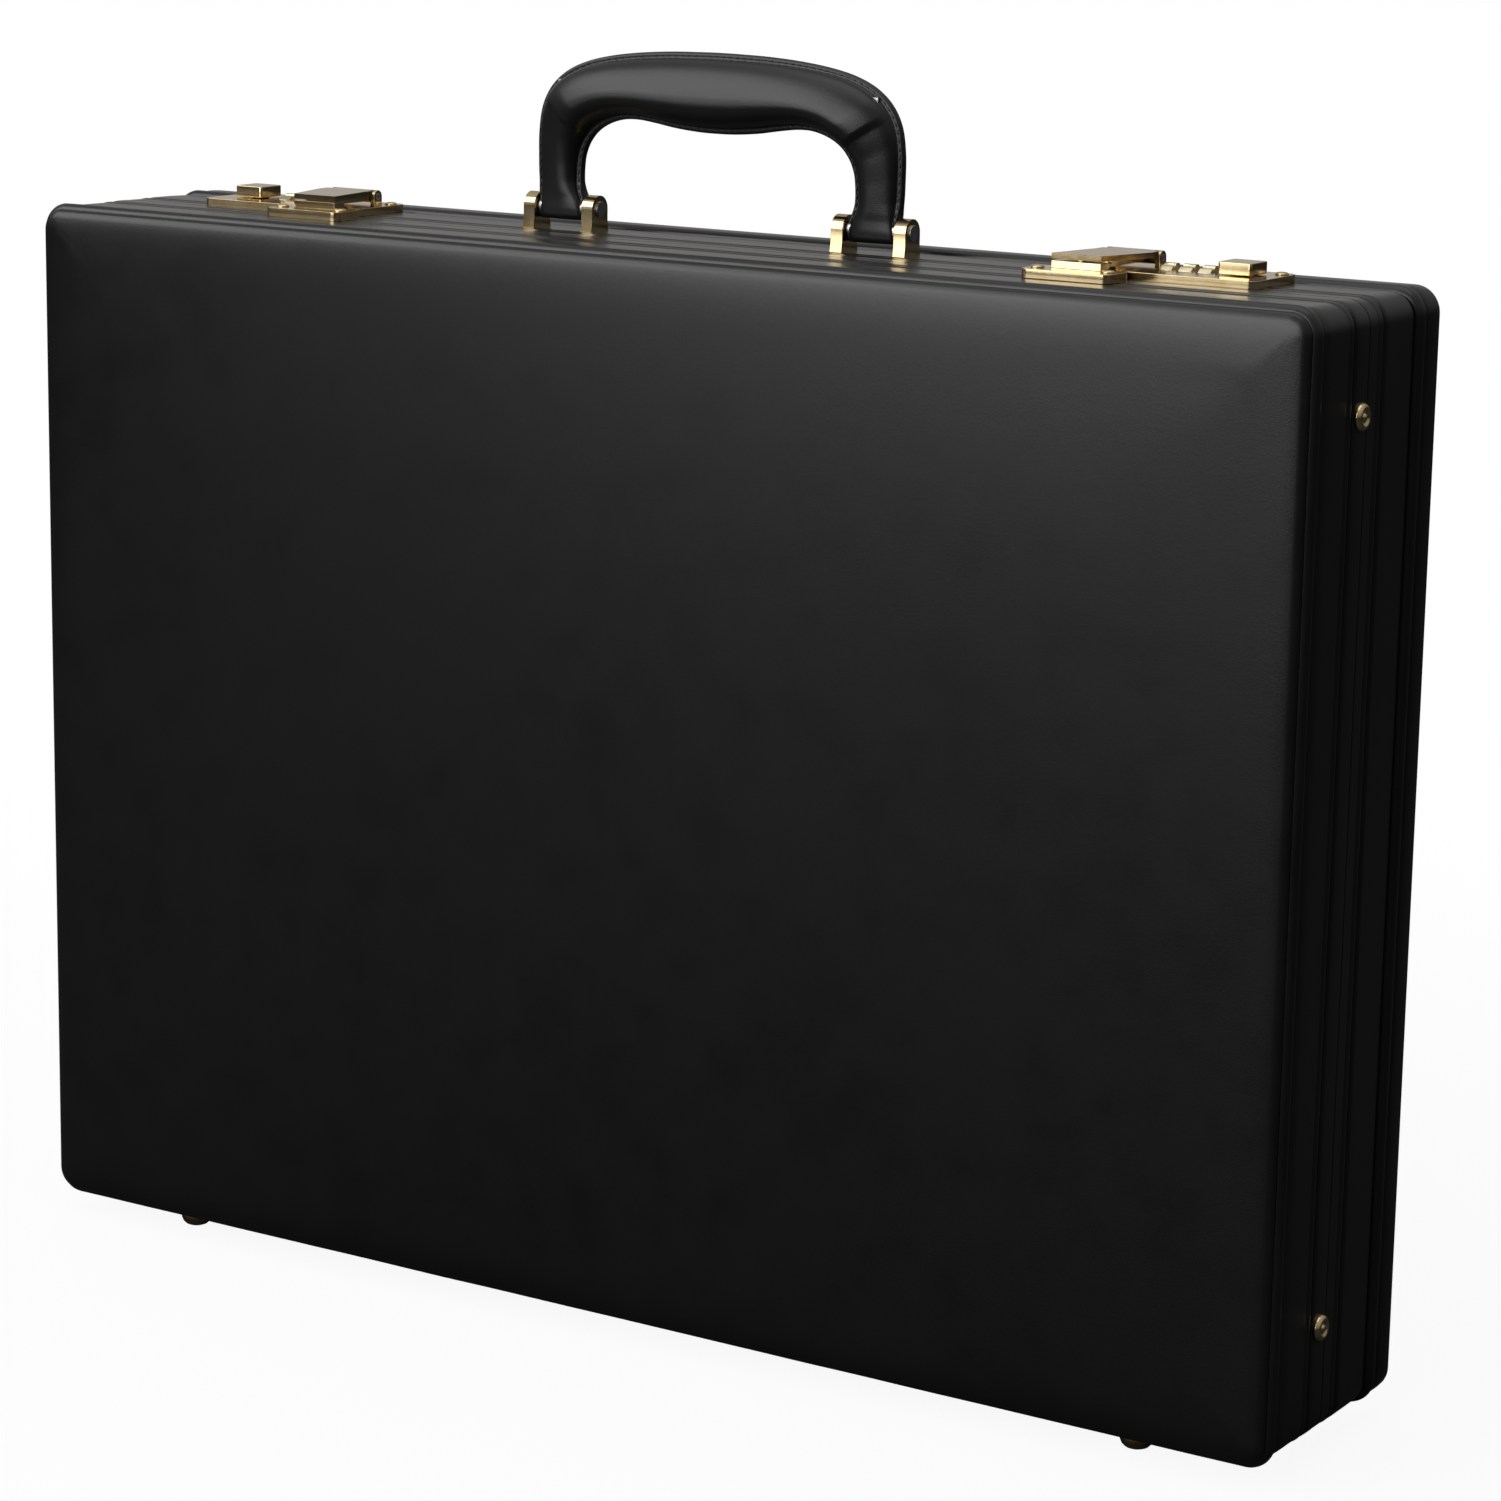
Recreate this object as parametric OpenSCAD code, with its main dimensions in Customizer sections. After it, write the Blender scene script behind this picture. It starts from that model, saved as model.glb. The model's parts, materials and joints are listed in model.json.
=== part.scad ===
// Hard leather-covered attache case with two combination locks.
// +X is the width, the lid faces -Y, +Z is up. The origin is the middle of the
// case at the height of the surface that its four feet stand on.

/* [Case] */
// Width across the piping
case_w = 450; // [430:5:480]
// Height across the piping, without the feet
case_h = 329; // [310:1:350]
// Distance between the front and rear piping
rim_t = 65; // [62:1:72]
// Depth of the front pad outside the middle of its piping
front_pad_t = 7.5; // [6:0.5:8]
// Depth of the rear pad outside the middle of its piping
rear_pad_t = 13; // [11:0.5:14]
// Corner radius of the piping
corner_r = 8.5; // [7.5:0.5:12]
// Diameter of the piping bead
piping_d = 5; // [4:0.5:5]
// Parting line between lid and base, from the middle of the case
part_y = -1; // [-2:0.5:0]

/* [Walls] */
// Depth of the leather bands below the piping
band_inset = 1; // [0.8:0.1:1.2]
// Thickness of the leather bands
skin_t = 2; // [1.8:0.1:2.2]
// Thickness of the board shells
board_t = 3; // [2.5:0.1:3.2]
// Thickness of the lining
lining_t = 0.8; // [0.6:0.1:1]
// Front seam between two leather bands, from the middle of the case
front_seam_y = -9.8; // [-11:0.2:-8]
// Rear seam between two leather bands, from the middle of the case
rear_seam_y = 8.6; // [7.6:0.2:9]

/* [Handle] */
// Outer width of the handle grip
grip_w = 131; // [128:1:134]
// Height of the handle above the piping
grip_h = 55.2; // [53:0.5:58]
// Largest depth of the grip
grip_d = 22; // [18:1:22]
// Radius of the handle pins
handle_pin_r = 1.5; // [1.3:0.1:1.8]

/* [Locks] */
// Outer end of the lock plates, from the middle of the case
lock_end_x = 188; // [187:0.5:190]
// Radius of a combination dial
dial_r = 6; // [5.8:0.1:6.2]
// Width of a combination dial
dial_w = 4; // [3.6:0.1:4.2]
// Distance from one dial to the next
dial_pitch = 6.2; // [6:0.1:6.4]

/* [Feet and stays] */
// Height of a foot below the piping
foot_h = 6.3; // [5:0.1:8]
// Distance of the feet from the middle of the case
foot_x = 176; // [160:1:185]
// Height of the stay pivots above the hinge
stay_h = 85; // [75:1:90]

/* [Hidden] */

$fn = 64;
leather = [0.10, 0.10, 0.11];
board = [0.30, 0.26, 0.22];
suede = [0.42, 0.34, 0.26];
brass = [0.78, 0.66, 0.38];
steel = [0.62, 0.62, 0.64];

// Half of the running gap between lid and base
half_gap = 0.15;
// Heights of the lower and upper piping, and the middle between them
low_z = foot_h;
top_z = foot_h + case_h;
mid_z = foot_h + case_h / 2;
// Depth of each layer of the wall, measured inwards from the piping
board_in = band_inset + skin_t;
lining_in = board_in + board_t;
inside_in = lining_in + lining_t;
// Leather surface that the top fittings stand on
deck_z = top_z - band_inset;
pipe_r = piping_d / 2;
// Piping centre line, and where the panels and bands end beside it
pipe_y = rim_t / 2;
panel_y = pipe_y - 0.2;
band_end_y = pipe_y - pipe_r;
seam_gap = 0.8;
// How far each pad swells from its edge to its middle, and where that swelling steps
front_crown = 3;
rear_crown = 0.5;
// Inset of each pad's edge from the piping's outline
front_edge_in = 1.7;
rear_edge_in = 0.5;
crown_in = [12, 40];
// Depth to which openings are cut through the top wall
wall_cut = 12;

// Lid hinge: axis just below the leather, two hinges with three knuckles each
hinge_z = low_z - 0.8;
hinge_x = 130;
hinge_half = 30;
knuckle_half = 11;
knuckle_r = 2.2;
hinge_pin_r = 1.2;
leaf_t = 1;
leaf_w = 14;
hinge_relief = 0.5;

// Handle ears, measured along X from the middle of the case
ear_in_x = 43;
ear_out_x = 64.7;
ear_t = 4;
ear_r = 4.2;
ear_y = 15;
handle_z = deck_z + 6.8;
leg_in_x = 47.5;
leg_out_x = 64.2;
ear_stud_r = 2;

// Lock, measured along X from the middle of the case and up from the deck
lock_in_x = 126.6;
plate_t = 2.4;
plate_y0 = 0.2;
plate_y1 = 27.5;
plate_z = deck_z + plate_t;
lock_box_x0 = 148;
lock_box_x1 = 187;
lock_box_y0 = 8.5;
lock_box_y1 = 26.5;
lock_box_h = 9.2;
lock_box_t = 0.8;
dial_x = 153;
dial_y = 17.5;
dial_z = plate_z + 1.6 - dial_r;
dial_bore_r = 1.3;
axle_r = 1.25;
partition_x = 169.3;
slider_x0 = 171.5;
slider_x1 = 182;
slider_y0 = 9.5;
slider_y1 = 20;
slider_travel = 5;
stem_x0 = 174;
stem_x1 = 178;
stem_y0 = 13;
stem_y1 = 16.5;

// Hasp, its pin, and the strike plate with its keeper
hasp_near_y = -7.9;
hasp_pin_y = 19;
hasp_pin_z = plate_z + 2.6;
hasp_pin_r = 1;
hasp_barrel_r = 2;
hasp_t = 1.6;
hasp_x0 = 133.5;
hasp_x1 = 147.5;
strike_x0 = 121.6;
strike_x1 = 150.2;
strike_y0 = -15.2;
strike_y1 = -2.2;
strike_t = 2.8;
keeper_x0 = 128;
keeper_x1 = 144;
keeper_y1 = -3;
keeper_h = 2.1;
strike_rivet_x = [124.6, 147.2];
strike_rivet_y = -9.5;
lock_rivet_x = [129.2, 185.2];
lock_rivet_y = 22.5;

// Lid stays: two links a side, straight when the lid stands open
lid_open_deg = 95;
stay_y = 10;
stay_spread = atan(stay_y / stay_h);
stay_r = sqrt(stay_y * stay_y + stay_h * stay_h);
stay_l = stay_r * sin(lid_open_deg / 2 + stay_spread);
stay_lean = asin(stay_y / stay_l);
stay_pivot_z = hinge_z + stay_h;
stay_t = 1.2;
stay_w = 8;
base_stay_x = 214.7;
lid_stay_x = 213.2;
stay_rivet_r = 2;
stay_hole_r = 2.05;

// Small domed fittings
stud_r = 4;
stud_y = -5;
stud_z = [35, 296.5];
foot_y = 22;
foot_flange_r = 6.5;

// ---------- shared shapes ----------

// Rounded rectangle of the case, drawn inset from the piping
module outline(inset) {
    r = max(corner_r - inset, 1);
    w = case_w - 2 * inset;
    h = case_h - 2 * inset;
    square([w - 2 * r, h], center = true);
    square([w, h - 2 * r], center = true);
    for (sx = [-1, 1], sz = [-1, 1])
        translate([sx * (w / 2 - r), sz * (h / 2 - r)]) circle(r);
}

// Extrudes a shape in the XZ plane from y0 to y1, at the middle height of the case
module slab(y0, y1) {
    translate([0, y1, mid_z]) rotate([90, 0, 0]) linear_extrude(height = y1 - y0) children();
}

// Wall that follows the case outline between two insets
module ring(y0, y1, outer, inner) {
    slab(y0, y1) difference() {
        outline(outer);
        outline(inner);
    }
}

module block(x0, x1, y0, y1, z0, z1) {
    translate([x0, y0, z0]) cube([x1 - x0, y1 - y0, z1 - z0]);
}

// Cylinder along X from x0 to x1
module rod(x0, x1, y, z, r) {
    translate([x0, y, z]) rotate([0, 90, 0]) cylinder(h = x1 - x0, r = r);
}

// Draws the right-hand shape as it is, or mirrored to the left
module sided(s) {
    if (s < 0) mirror([1, 0, 0]) children();
    else children();
}

module both_sides() {
    children();
    mirror([1, 0, 0]) children();
}

// Box with rounded corners in plan
module plan_plate(x0, x1, y0, y1, z0, z1, r) {
    translate([(x0 + x1) / 2, (y0 + y1) / 2, z0]) linear_extrude(height = z1 - z0) {
        square([x1 - x0 - 2 * r, y1 - y0], center = true);
        square([x1 - x0, y1 - y0 - 2 * r], center = true);
        for (sx = [-1, 1], sy = [-1, 1])
            translate([sx * ((x1 - x0) / 2 - r), sy * ((y1 - y0) / 2 - r)]) circle(r);
    }
}

// Low domed rivet head that stands up from z
module rivet_head(x, y, z, r, h) {
    translate([x, y, z]) rotate_extrude($fn = 48)
        polygon([[0, 0], [r, 0], [r, h * 0.4], [r * 0.75, h * 0.85], [r * 0.35, h], [0, h]]);
}

// ---------- walls ----------

module hinge_reliefs() {
    for (s = [-1, 1])
        block(s * hinge_x - hinge_half - 0.3, s * hinge_x + hinge_half + 0.3,
            part_y - knuckle_r - hinge_relief, part_y + knuckle_r + hinge_relief,
            low_z - 4, hinge_z + knuckle_r + hinge_relief);
}

// Opening in the top wall for a lock case and its moving parts
module lock_cutouts() {
    both_sides() block(lock_box_x0 - 0.1, lock_box_x1 + 0.1, lock_box_y0 - 0.1, lock_box_y1 + 0.1,
        deck_z - wall_cut, deck_z + 1);
}

module ear_stud_holes() {
    both_sides() for (x = [ear_in_x, ear_out_x])
        translate([x + ear_t / 2, ear_y, deck_z - wall_cut])
            cylinder(h = wall_cut + 2, r = ear_stud_r + 0.05);
}

module base_shell() {
    color(board) difference() {
        union() {
            ring(part_y + half_gap, band_end_y - 0.2, board_in, lining_in);
            slab(panel_y - board_t, panel_y) outline(piping_d + 0.2);
            ring(panel_y - board_t - 1, panel_y - board_t + 0.5, piping_d + 0.2, lining_in + 0.2);
        }
        lock_cutouts();
        ear_stud_holes();
    }
}

module lid_shell() {
    color(board) {
        ring(-band_end_y + 0.2, part_y - half_gap, board_in, lining_in);
        slab(-panel_y, -panel_y + board_t) outline(piping_d + 0.2);
    }
}

module base_band() {
    color(leather) difference() {
        ring(rear_seam_y + seam_gap / 2, band_end_y - 0.2, band_inset, board_in);
        lock_cutouts();
        ear_stud_holes();
    }
}

module base_binding() {
    color(leather) difference() {
        ring(part_y + half_gap, rear_seam_y - seam_gap / 2, band_inset, board_in);
        hinge_reliefs();
    }
}

module front_band() {
    color(leather) ring(-band_end_y + 0.2, front_seam_y - seam_gap / 2, band_inset, board_in);
}

module lid_binding() {
    color(leather) difference() {
        ring(front_seam_y + seam_gap / 2, part_y - half_gap, band_inset, board_in);
        hinge_reliefs();
    }
}

// Round bead that follows the case outline at one depth
module piping(y) {
    bend_r = corner_r - pipe_r;
    sx = case_w / 2 - corner_r;
    sz = case_h / 2 - corner_r;
    color(leather) translate([0, y, mid_z]) {
        for (s = [-1, 1]) {
            translate([-sx, 0, s * (case_h / 2 - pipe_r)])
                rotate([0, 90, 0]) cylinder(h = 2 * sx, r = pipe_r, $fn = 32);
            translate([s * (case_w / 2 - pipe_r), 0, -sz]) cylinder(h = 2 * sz, r = pipe_r, $fn = 32);
        }
        for (q = [[1, 1, 0], [-1, 1, 90], [-1, -1, 180], [1, -1, 270]])
            translate([q[0] * sx, 0, q[1] * sz]) rotate([90, 0, 0]) rotate([0, 0, q[2]])
                rotate_extrude(angle = 90) translate([bend_r, 0]) circle(pipe_r, $fn = 32);
    }
}

module rear_piping() { piping(pipe_y); }
module front_piping() { piping(-pipe_y); }

// Padded leather panel that stands proud of the piping, towards +Y: a neck inside the bead, an edge
// that lies on the bead, and two steps of swelling
module pad(depth, crown, edge_in) {
    neck_in = piping_d + 0.4;
    neck = pipe_r + 0.1;
    edge = depth - crown;
    roll = edge - 1;
    color(leather) translate([0, pipe_y, 0]) {
        slab(0, neck) outline(neck_in);
        slab(neck, roll) outline(edge_in);
        slab(roll, edge) outline(edge_in + 0.8);
        slab(edge, edge + crown / 2) outline(crown_in[0]);
        slab(edge + crown / 2, depth) outline(crown_in[1]);
    }
}

module rear_pad() { pad(rear_pad_t, rear_crown, rear_edge_in); }
module front_pad() { mirror([0, 1, 0]) pad(front_pad_t, front_crown, front_edge_in); }

module base_lining() {
    difference() {
        color(suede) {
            ring(part_y + 8.2, panel_y - board_t - 1, lining_in, inside_in);
            slab(panel_y - board_t - 1, panel_y - board_t - 0.2) outline(lining_in + 0.3);
        }
        lock_cutouts();
        ear_stud_holes();
    }
}

module lid_lining() {
    color(suede) {
        ring(-panel_y + board_t, part_y - 7, lining_in, inside_in);
        slab(-panel_y + board_t, -panel_y + board_t + lining_t) outline(lining_in);
    }
}

// Aluminium frame in the mouth of the base, with a tongue that enters the lid
module base_valance() {
    color(steel) {
        ring(part_y + half_gap, part_y + 8, lining_in, lining_in + 1.2);
        ring(part_y - 5, part_y + half_gap, lining_in + 0.4, lining_in + 1.2);
    }
}

// ---------- hinges ----------

// Knuckle along X about the hinge axis, with its root into the leaf
module knuckle(x0, x1, side, bore_r) {
    difference() {
        union() {
            rod(x0, x1, part_y, hinge_z, knuckle_r);
            block(x0, x1, side > 0 ? part_y : part_y - knuckle_r - 1,
                side > 0 ? part_y + knuckle_r + 1 : part_y, low_z, low_z + leaf_t);
        }
        rod(x0 - 1, x1 + 1, part_y, hinge_z, bore_r);
    }
}

module leaf_plate(cx, side) {
    y0 = side > 0 ? part_y + knuckle_r + 0.6 : part_y - leaf_w;
    y1 = side > 0 ? part_y + leaf_w : part_y - knuckle_r - 0.6;
    block(cx - hinge_half, cx + hinge_half, y0, y1, low_z, low_z + leaf_t);
}

module base_hinge_leaves() {
    color(brass) for (s = [-1, 1]) {
        leaf_plate(s * hinge_x, 1);
        knuckle(s * hinge_x - hinge_half, s * hinge_x - knuckle_half, 1, hinge_pin_r);
        knuckle(s * hinge_x + knuckle_half, s * hinge_x + hinge_half, 1, hinge_pin_r);
    }
}

module lid_hinge_leaves() {
    color(brass) for (s = [-1, 1]) {
        leaf_plate(s * hinge_x, -1);
        knuckle(s * hinge_x - knuckle_half + 0.3, s * hinge_x + knuckle_half - 0.3, -1,
            hinge_pin_r + 0.05);
    }
}

module hinge_pins() {
    color(steel) for (s = [-1, 1])
        rod(s * hinge_x - hinge_half - 0.5, s * hinge_x + hinge_half + 0.5, part_y, hinge_z,
            hinge_pin_r);
}

// Flat rivet heads under the leaves
module leaf_rivets(y) {
    spread = 22;
    color(brass) for (s = [-1, 1], dx = [-spread, 0, spread])
        translate([s * hinge_x + dx, y, low_z]) mirror([0, 0, 1]) rivet_head(0, 0, 0, 2, 0.8);
}

module base_hinge_rivets() { leaf_rivets(part_y + 8.5); }
module lid_hinge_rivets() { leaf_rivets(part_y - 8.5); }

// ---------- feet and studs ----------

module foot(y) {
    h = foot_h + band_inset;
    for (s = [-1, 1]) translate([s * foot_x, y, 0]) rotate_extrude($fn = 64)
        polygon([[0, 0], [2.4, 0], [3.6, 0.5], [4.5, 1.4], [5, 2.6], [5, 3.8], [4.6, 4.8], [4.4, h - 1.6],
            [foot_flange_r - 0.4, h - 1.2], [foot_flange_r, h - 0.8], [foot_flange_r, h], [0, h]]);
}

module base_feet() { color(brass) foot(foot_y); }
module lid_feet() { color(brass) foot(-foot_y); }

// Round studs: a raised rim, a dished face and a small boss in its middle
module side_studs() {
    x = case_w / 2 - band_inset;
    rim_h = 1.9;
    dish_h = 1.2;
    boss_r = 1.3;
    color(brass) both_sides() for (z = stud_z)
        translate([x, stud_y, low_z + z]) rotate([0, 90, 0]) rotate_extrude($fn = 48)
            polygon([[0, 0], [stud_r, 0], [stud_r, rim_h - 1.1], [stud_r - 0.4, rim_h - 0.4],
                [stud_r - 1, rim_h], [stud_r - 1.6, rim_h], [stud_r - 2.1, dish_h + 0.2], [boss_r, dish_h],
                [boss_r - 0.3, dish_h + 0.5], [boss_r - 0.7, rim_h], [0, rim_h + 0.2]]);
}

// ---------- handle ----------

// One ear: rounded plate on the deck with a stud through the wall
module ear(x) {
    z0 = deck_z;
    color(brass) {
        difference() {
            translate([x, ear_y, 0]) rotate([90, 0, 90]) linear_extrude(height = ear_t) {
                translate([0, handle_z]) circle(ear_r);
                polygon([[-ear_r - 0.4, z0], [ear_r + 0.4, z0], [ear_r, z0 + 3], [ear_r, handle_z],
                    [-ear_r, handle_z], [-ear_r, z0 + 3]]);
            }
            rod(x - 1, x + ear_t + 1, ear_y, handle_z, handle_pin_r);
        }
        translate([x + ear_t / 2, ear_y, deck_z - inside_in - 1.4 + band_inset])
            cylinder(h = inside_in + 1.4 - band_inset, r = ear_stud_r);
    }
}

module ear_right_inner() { ear(ear_in_x); }
module ear_right_outer() { ear(ear_out_x); }
module ear_left_inner() { mirror([1, 0, 0]) ear(ear_in_x); }
module ear_left_outer() { mirror([1, 0, 0]) ear(ear_out_x); }

module handle_pins() {
    color(steel) both_sides() {
        rod(ear_in_x, ear_out_x + ear_t, ear_y, handle_z, handle_pin_r);
        rod(ear_in_x - 0.6, ear_in_x, ear_y, handle_z, 2.4);
        rod(ear_out_x + ear_t, ear_out_x + ear_t + 0.6, ear_y, handle_z, 2.4);
    }
}

module handle_backing_plates() {
    color(steel) both_sides() difference() {
        plan_plate(ear_in_x - 2, ear_out_x + ear_t + 2, ear_y - 5.5, ear_y + 5.5,
            top_z - inside_in - 1.2, top_z - inside_in, 2);
        ear_stud_holes();
    }
}

// Steel core of the handle: two eyes on the pins, two legs and a bar
module core_shape(eye_r) {
    bar_z = handle_z + 36;
    both_sides() {
        rod(leg_in_x, leg_out_x, ear_y, handle_z, eye_r);
        block(54.3, 57.3, ear_y - 2.5, ear_y + 2.5, handle_z, bar_z + 3);
    }
    block(-57.3, 57.3, ear_y - 2.5, ear_y + 2.5, bar_z, bar_z + 3);
}

module handle_core() {
    color(steel) difference() {
        core_shape(2.7);
        both_sides() rod(leg_in_x - 1, leg_out_x + 1, ear_y, handle_z, handle_pin_r + 0.05);
    }
}

// Front view of the grip, measured up from the top piping
module grip_front() {
    crown_r = 223;
    belly_r = 137;
    hand_w = 98;
    corner = 20;
    wide_z = handle_z - top_z + 6.5;
    leg_z = handle_z - top_z - 3.6;
    difference() {
        intersection() {
            translate([0, grip_h - crown_r]) circle(crown_r, $fn = 256);
            union() {
                translate([-grip_w / 2, wide_z]) square([grip_w, 33 - wide_z]);
                translate([corner - grip_w / 2, 20]) square([grip_w - 2 * corner, grip_h - 20]);
                for (s = [-1, 1]) {
                    translate([s * (grip_w / 2 - corner), 33]) circle(corner);
                    translate([s * (leg_in_x + leg_out_x) / 2, leg_z + (wide_z - leg_z) / 2 + 0.5])
                        square([leg_out_x - leg_in_x, wide_z - leg_z + 1], center = true);
                }
            }
        }
        difference() {
            union() {
                translate([-hand_w / 2, 0]) square([hand_w, 21]);
                translate([13 - hand_w / 2, 0]) square([hand_w - 26, 33.9]);
                for (s = [-1, 1]) translate([s * (hand_w / 2 - 13), 20.9]) circle(13);
            }
            translate([0, 31 + belly_r]) circle(belly_r, $fn = 256);
            for (s = [-1, 1]) translate([s * (leg_in_x + hand_w / 2) / 2, 0])
                square([hand_w / 2 - leg_in_x, 2 * wide_z], center = true);
        }
        translate([-leg_in_x, -1]) square([2 * leg_in_x, wide_z + 1]);
    }
}

// Side view of the grip, measured up from the top piping
module grip_side() {
    z = handle_z - top_z;
    polygon([[-3.4, z - 3.6], [3.4, z - 3.6], [4.2, z - 2.8], [4.2, z + 6], [6, z + 13], [9.3, z + 22],
        [grip_d / 2, z + 29], [grip_d / 2, z + 40], [9.6, z + 45], [6.5, z + 48.4], [3, grip_h],
        [-3, grip_h], [-6.5, z + 48.4], [-9.6, z + 45], [-grip_d / 2, z + 40],
        [-grip_d / 2, z + 29], [-9.3, z + 22], [-6, z + 13], [-4.2, z + 6], [-4.2, z - 2.8]]);
}

module handle_grip() {
    color(leather) difference() {
        intersection() {
            translate([0, ear_y + grip_d / 2 + 1, top_z]) rotate([90, 0, 0])
                linear_extrude(height = grip_d + 2) grip_front();
            translate([-grip_w / 2 - 1, ear_y, top_z]) rotate([90, 0, 90])
                linear_extrude(height = grip_w + 2) grip_side();
        }
        core_shape(2.7);
    }
}

// ---------- locks ----------

module lock_plate() {
    color(brass) difference() {
        union() {
            plan_plate(lock_in_x, lock_end_x, plate_y0, plate_y1, deck_z, plate_z, 3);
            // Lugs that hold the hasp pin
            for (x = [hasp_x0 - 1.9, hasp_x1 + 0.3]) {
                rod(x, x + 1.6, hasp_pin_y, hasp_pin_z, hasp_barrel_r);
                block(x, x + 1.6, hasp_pin_y - hasp_barrel_r, hasp_pin_y + hasp_barrel_r,
                    deck_z + 1, hasp_pin_z);
            }
        }
        // Windows for the dials
        for (i = [0:2])
            block(dial_x + i * dial_pitch - dial_w / 2 - 0.4, dial_x + i * dial_pitch + dial_w / 2 + 0.4,
                dial_y - 6.4, dial_y + 6.4, deck_z - 1, plate_z + 1);
        // Slot for the stem of the slider
        block(stem_x0 - 0.4, stem_x1 + slider_travel + 0.4, stem_y0 - 0.4, stem_y1 + 0.4,
            deck_z - 1, plate_z + 1);
        rod(hasp_x0 - 3, hasp_x1 + 3, hasp_pin_y, hasp_pin_z, hasp_pin_r);
        for (x = lock_rivet_x) translate([x, lock_rivet_y, deck_z - 1]) cylinder(h = 5, r = 1.1);
    }
}

module lock_plate_left() { mirror([1, 0, 0]) lock_plate(); }
module lock_plate_right() { lock_plate(); }

// Pressed steel case under the lock plate, open at the top
module lock_case() {
    t = lock_box_t;
    z0 = deck_z - lock_box_h;
    color(steel) difference() {
        block(lock_box_x0, lock_box_x1, lock_box_y0, lock_box_y1, z0, deck_z);
        block(lock_box_x0 + t, partition_x, lock_box_y0 + t, lock_box_y1 - t, z0 + t, deck_z + 1);
        block(partition_x + t, lock_box_x1 - t, lock_box_y0 + t, lock_box_y1 - t, z0 + t, deck_z + 1);
        rod(lock_box_x0 - 1, partition_x + t + 1, dial_y, dial_z, axle_r);
    }
}

module lock_case_left() { mirror([1, 0, 0]) lock_case(); }
module lock_case_right() { lock_case(); }

module dial_axles() {
    color(steel) both_sides()
        rod(lock_box_x0, partition_x + lock_box_t, dial_y, dial_z, axle_r);
}

module hasp_pins() {
    color(steel) both_sides() rod(hasp_x0 - 1.9, hasp_x1 + 1.9, hasp_pin_y, hasp_pin_z, hasp_pin_r);
}

// Tubular rivets: shank through the plate and a domed head
module rivet(x, y, z, shank) {
    translate([x, y, z - shank]) cylinder(h = shank, r = 1.1, $fn = 32);
    rivet_head(x, y, z, 2, 0.8);
}

module lock_rivets() {
    color(brass) both_sides() for (x = lock_rivet_x) rivet(x, lock_rivet_y, plate_z, plate_t);
}

module strike_rivets() {
    color(brass) both_sides() for (x = strike_rivet_x)
        rivet(x, strike_rivet_y, deck_z + strike_t, strike_t);
}

// Flat spring beside the foot of each slider
module slider_springs() {
    z0 = deck_z - lock_box_h + lock_box_t;
    color(steel) both_sides() {
        block(partition_x + lock_box_t, partition_x + lock_box_t + 0.4, 11, 19, z0, deck_z - 3);
        block(partition_x + lock_box_t, partition_x + 12, 11, 19, z0, z0 + 0.4);
    }
}

module dial(i) {
    x = dial_x + (i - 1) * dial_pitch;
    color(brass) difference() {
        rod(x - dial_w / 2, x + dial_w / 2, dial_y, dial_z, dial_r);
        rod(x - dial_w, x + dial_w, dial_y, dial_z, dial_bore_r);
        for (k = [0:9]) translate([0, dial_y, dial_z]) rotate([36 * k + 18, 0, 0])
            translate([x - dial_w, 0, dial_r + 0.35]) rotate([0, 90, 0])
                cylinder(h = 2 * dial_w, r = 0.9, $fn = 24);
    }
}

module slider_block() {
    gap = 0.3;
    color(brass) {
        plan_plate(slider_x0, slider_x1, slider_y0, slider_y1, plate_z + gap, plate_z + 3.8, 0.8);
        block(stem_x0, stem_x1, stem_y0, stem_y1, deck_z - 2.2, plate_z + 1);
        block(stem_x0 - 1.5, stem_x1 + 1.5, stem_y0 - 1.5, stem_y1 + 1.5, deck_z - 2.2, deck_z - gap);
    }
}

module slider_left() { mirror([1, 0, 0]) slider_block(); }
module slider_right() { slider_block(); }

// Hinged latch that reaches over the keeper of the lid
module hasp() {
    z1 = hasp_pin_z + hasp_barrel_r;
    z0 = z1 - hasp_t;
    color(brass) difference() {
        union() {
            translate([0, 0, z0]) linear_extrude(height = hasp_t)
                polygon([[keeper_x0, hasp_near_y], [keeper_x1, hasp_near_y], [hasp_x1 + 2, 12],
                    [hasp_x1 + 2, hasp_pin_y - 3], [hasp_x1, hasp_pin_y - 3], [hasp_x1, hasp_pin_y],
                    [hasp_x0, hasp_pin_y], [hasp_x0, hasp_pin_y - 3], [hasp_x0 - 2, hasp_pin_y - 3],
                    [hasp_x0 - 2, 12]]);
            rod(hasp_x0, hasp_x1, hasp_pin_y, hasp_pin_z, hasp_barrel_r);
            // Web under the plate that stiffens it behind the keeper
            block(hasp_x0, hasp_x0 + 1.2, keeper_y1 + 1, hasp_pin_y, z0 - 1.8, z0 + 0.5);
            block(hasp_x1 - 4.7, hasp_x1 - 3.5, keeper_y1 + 1, hasp_pin_y, z0 - 1.8, z0 + 0.5);
        }
        rod(hasp_x0 - 3, hasp_x1 + 3, hasp_pin_y, hasp_pin_z, hasp_pin_r + 0.05);
    }
}

module hasp_left() { mirror([1, 0, 0]) hasp(); }
module hasp_right() { hasp(); }

module strike_plate() {
    z1 = deck_z + strike_t;
    color(brass) difference() {
        union() {
            plan_plate(strike_x0, strike_x1, strike_y0, strike_y1, deck_z, z1, 2.5);
            block(keeper_x0, keeper_x1, hasp_near_y - 0.2, keeper_y1, z1 - 0.5, z1 + keeper_h);
        }
        for (x = strike_rivet_x) translate([x, strike_rivet_y, deck_z - 1]) cylinder(h = 6, r = 1.1);
    }
}

module strike_plate_left() { mirror([1, 0, 0]) strike_plate(); }
module strike_plate_right() { strike_plate(); }

// ---------- lid stays ----------

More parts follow.
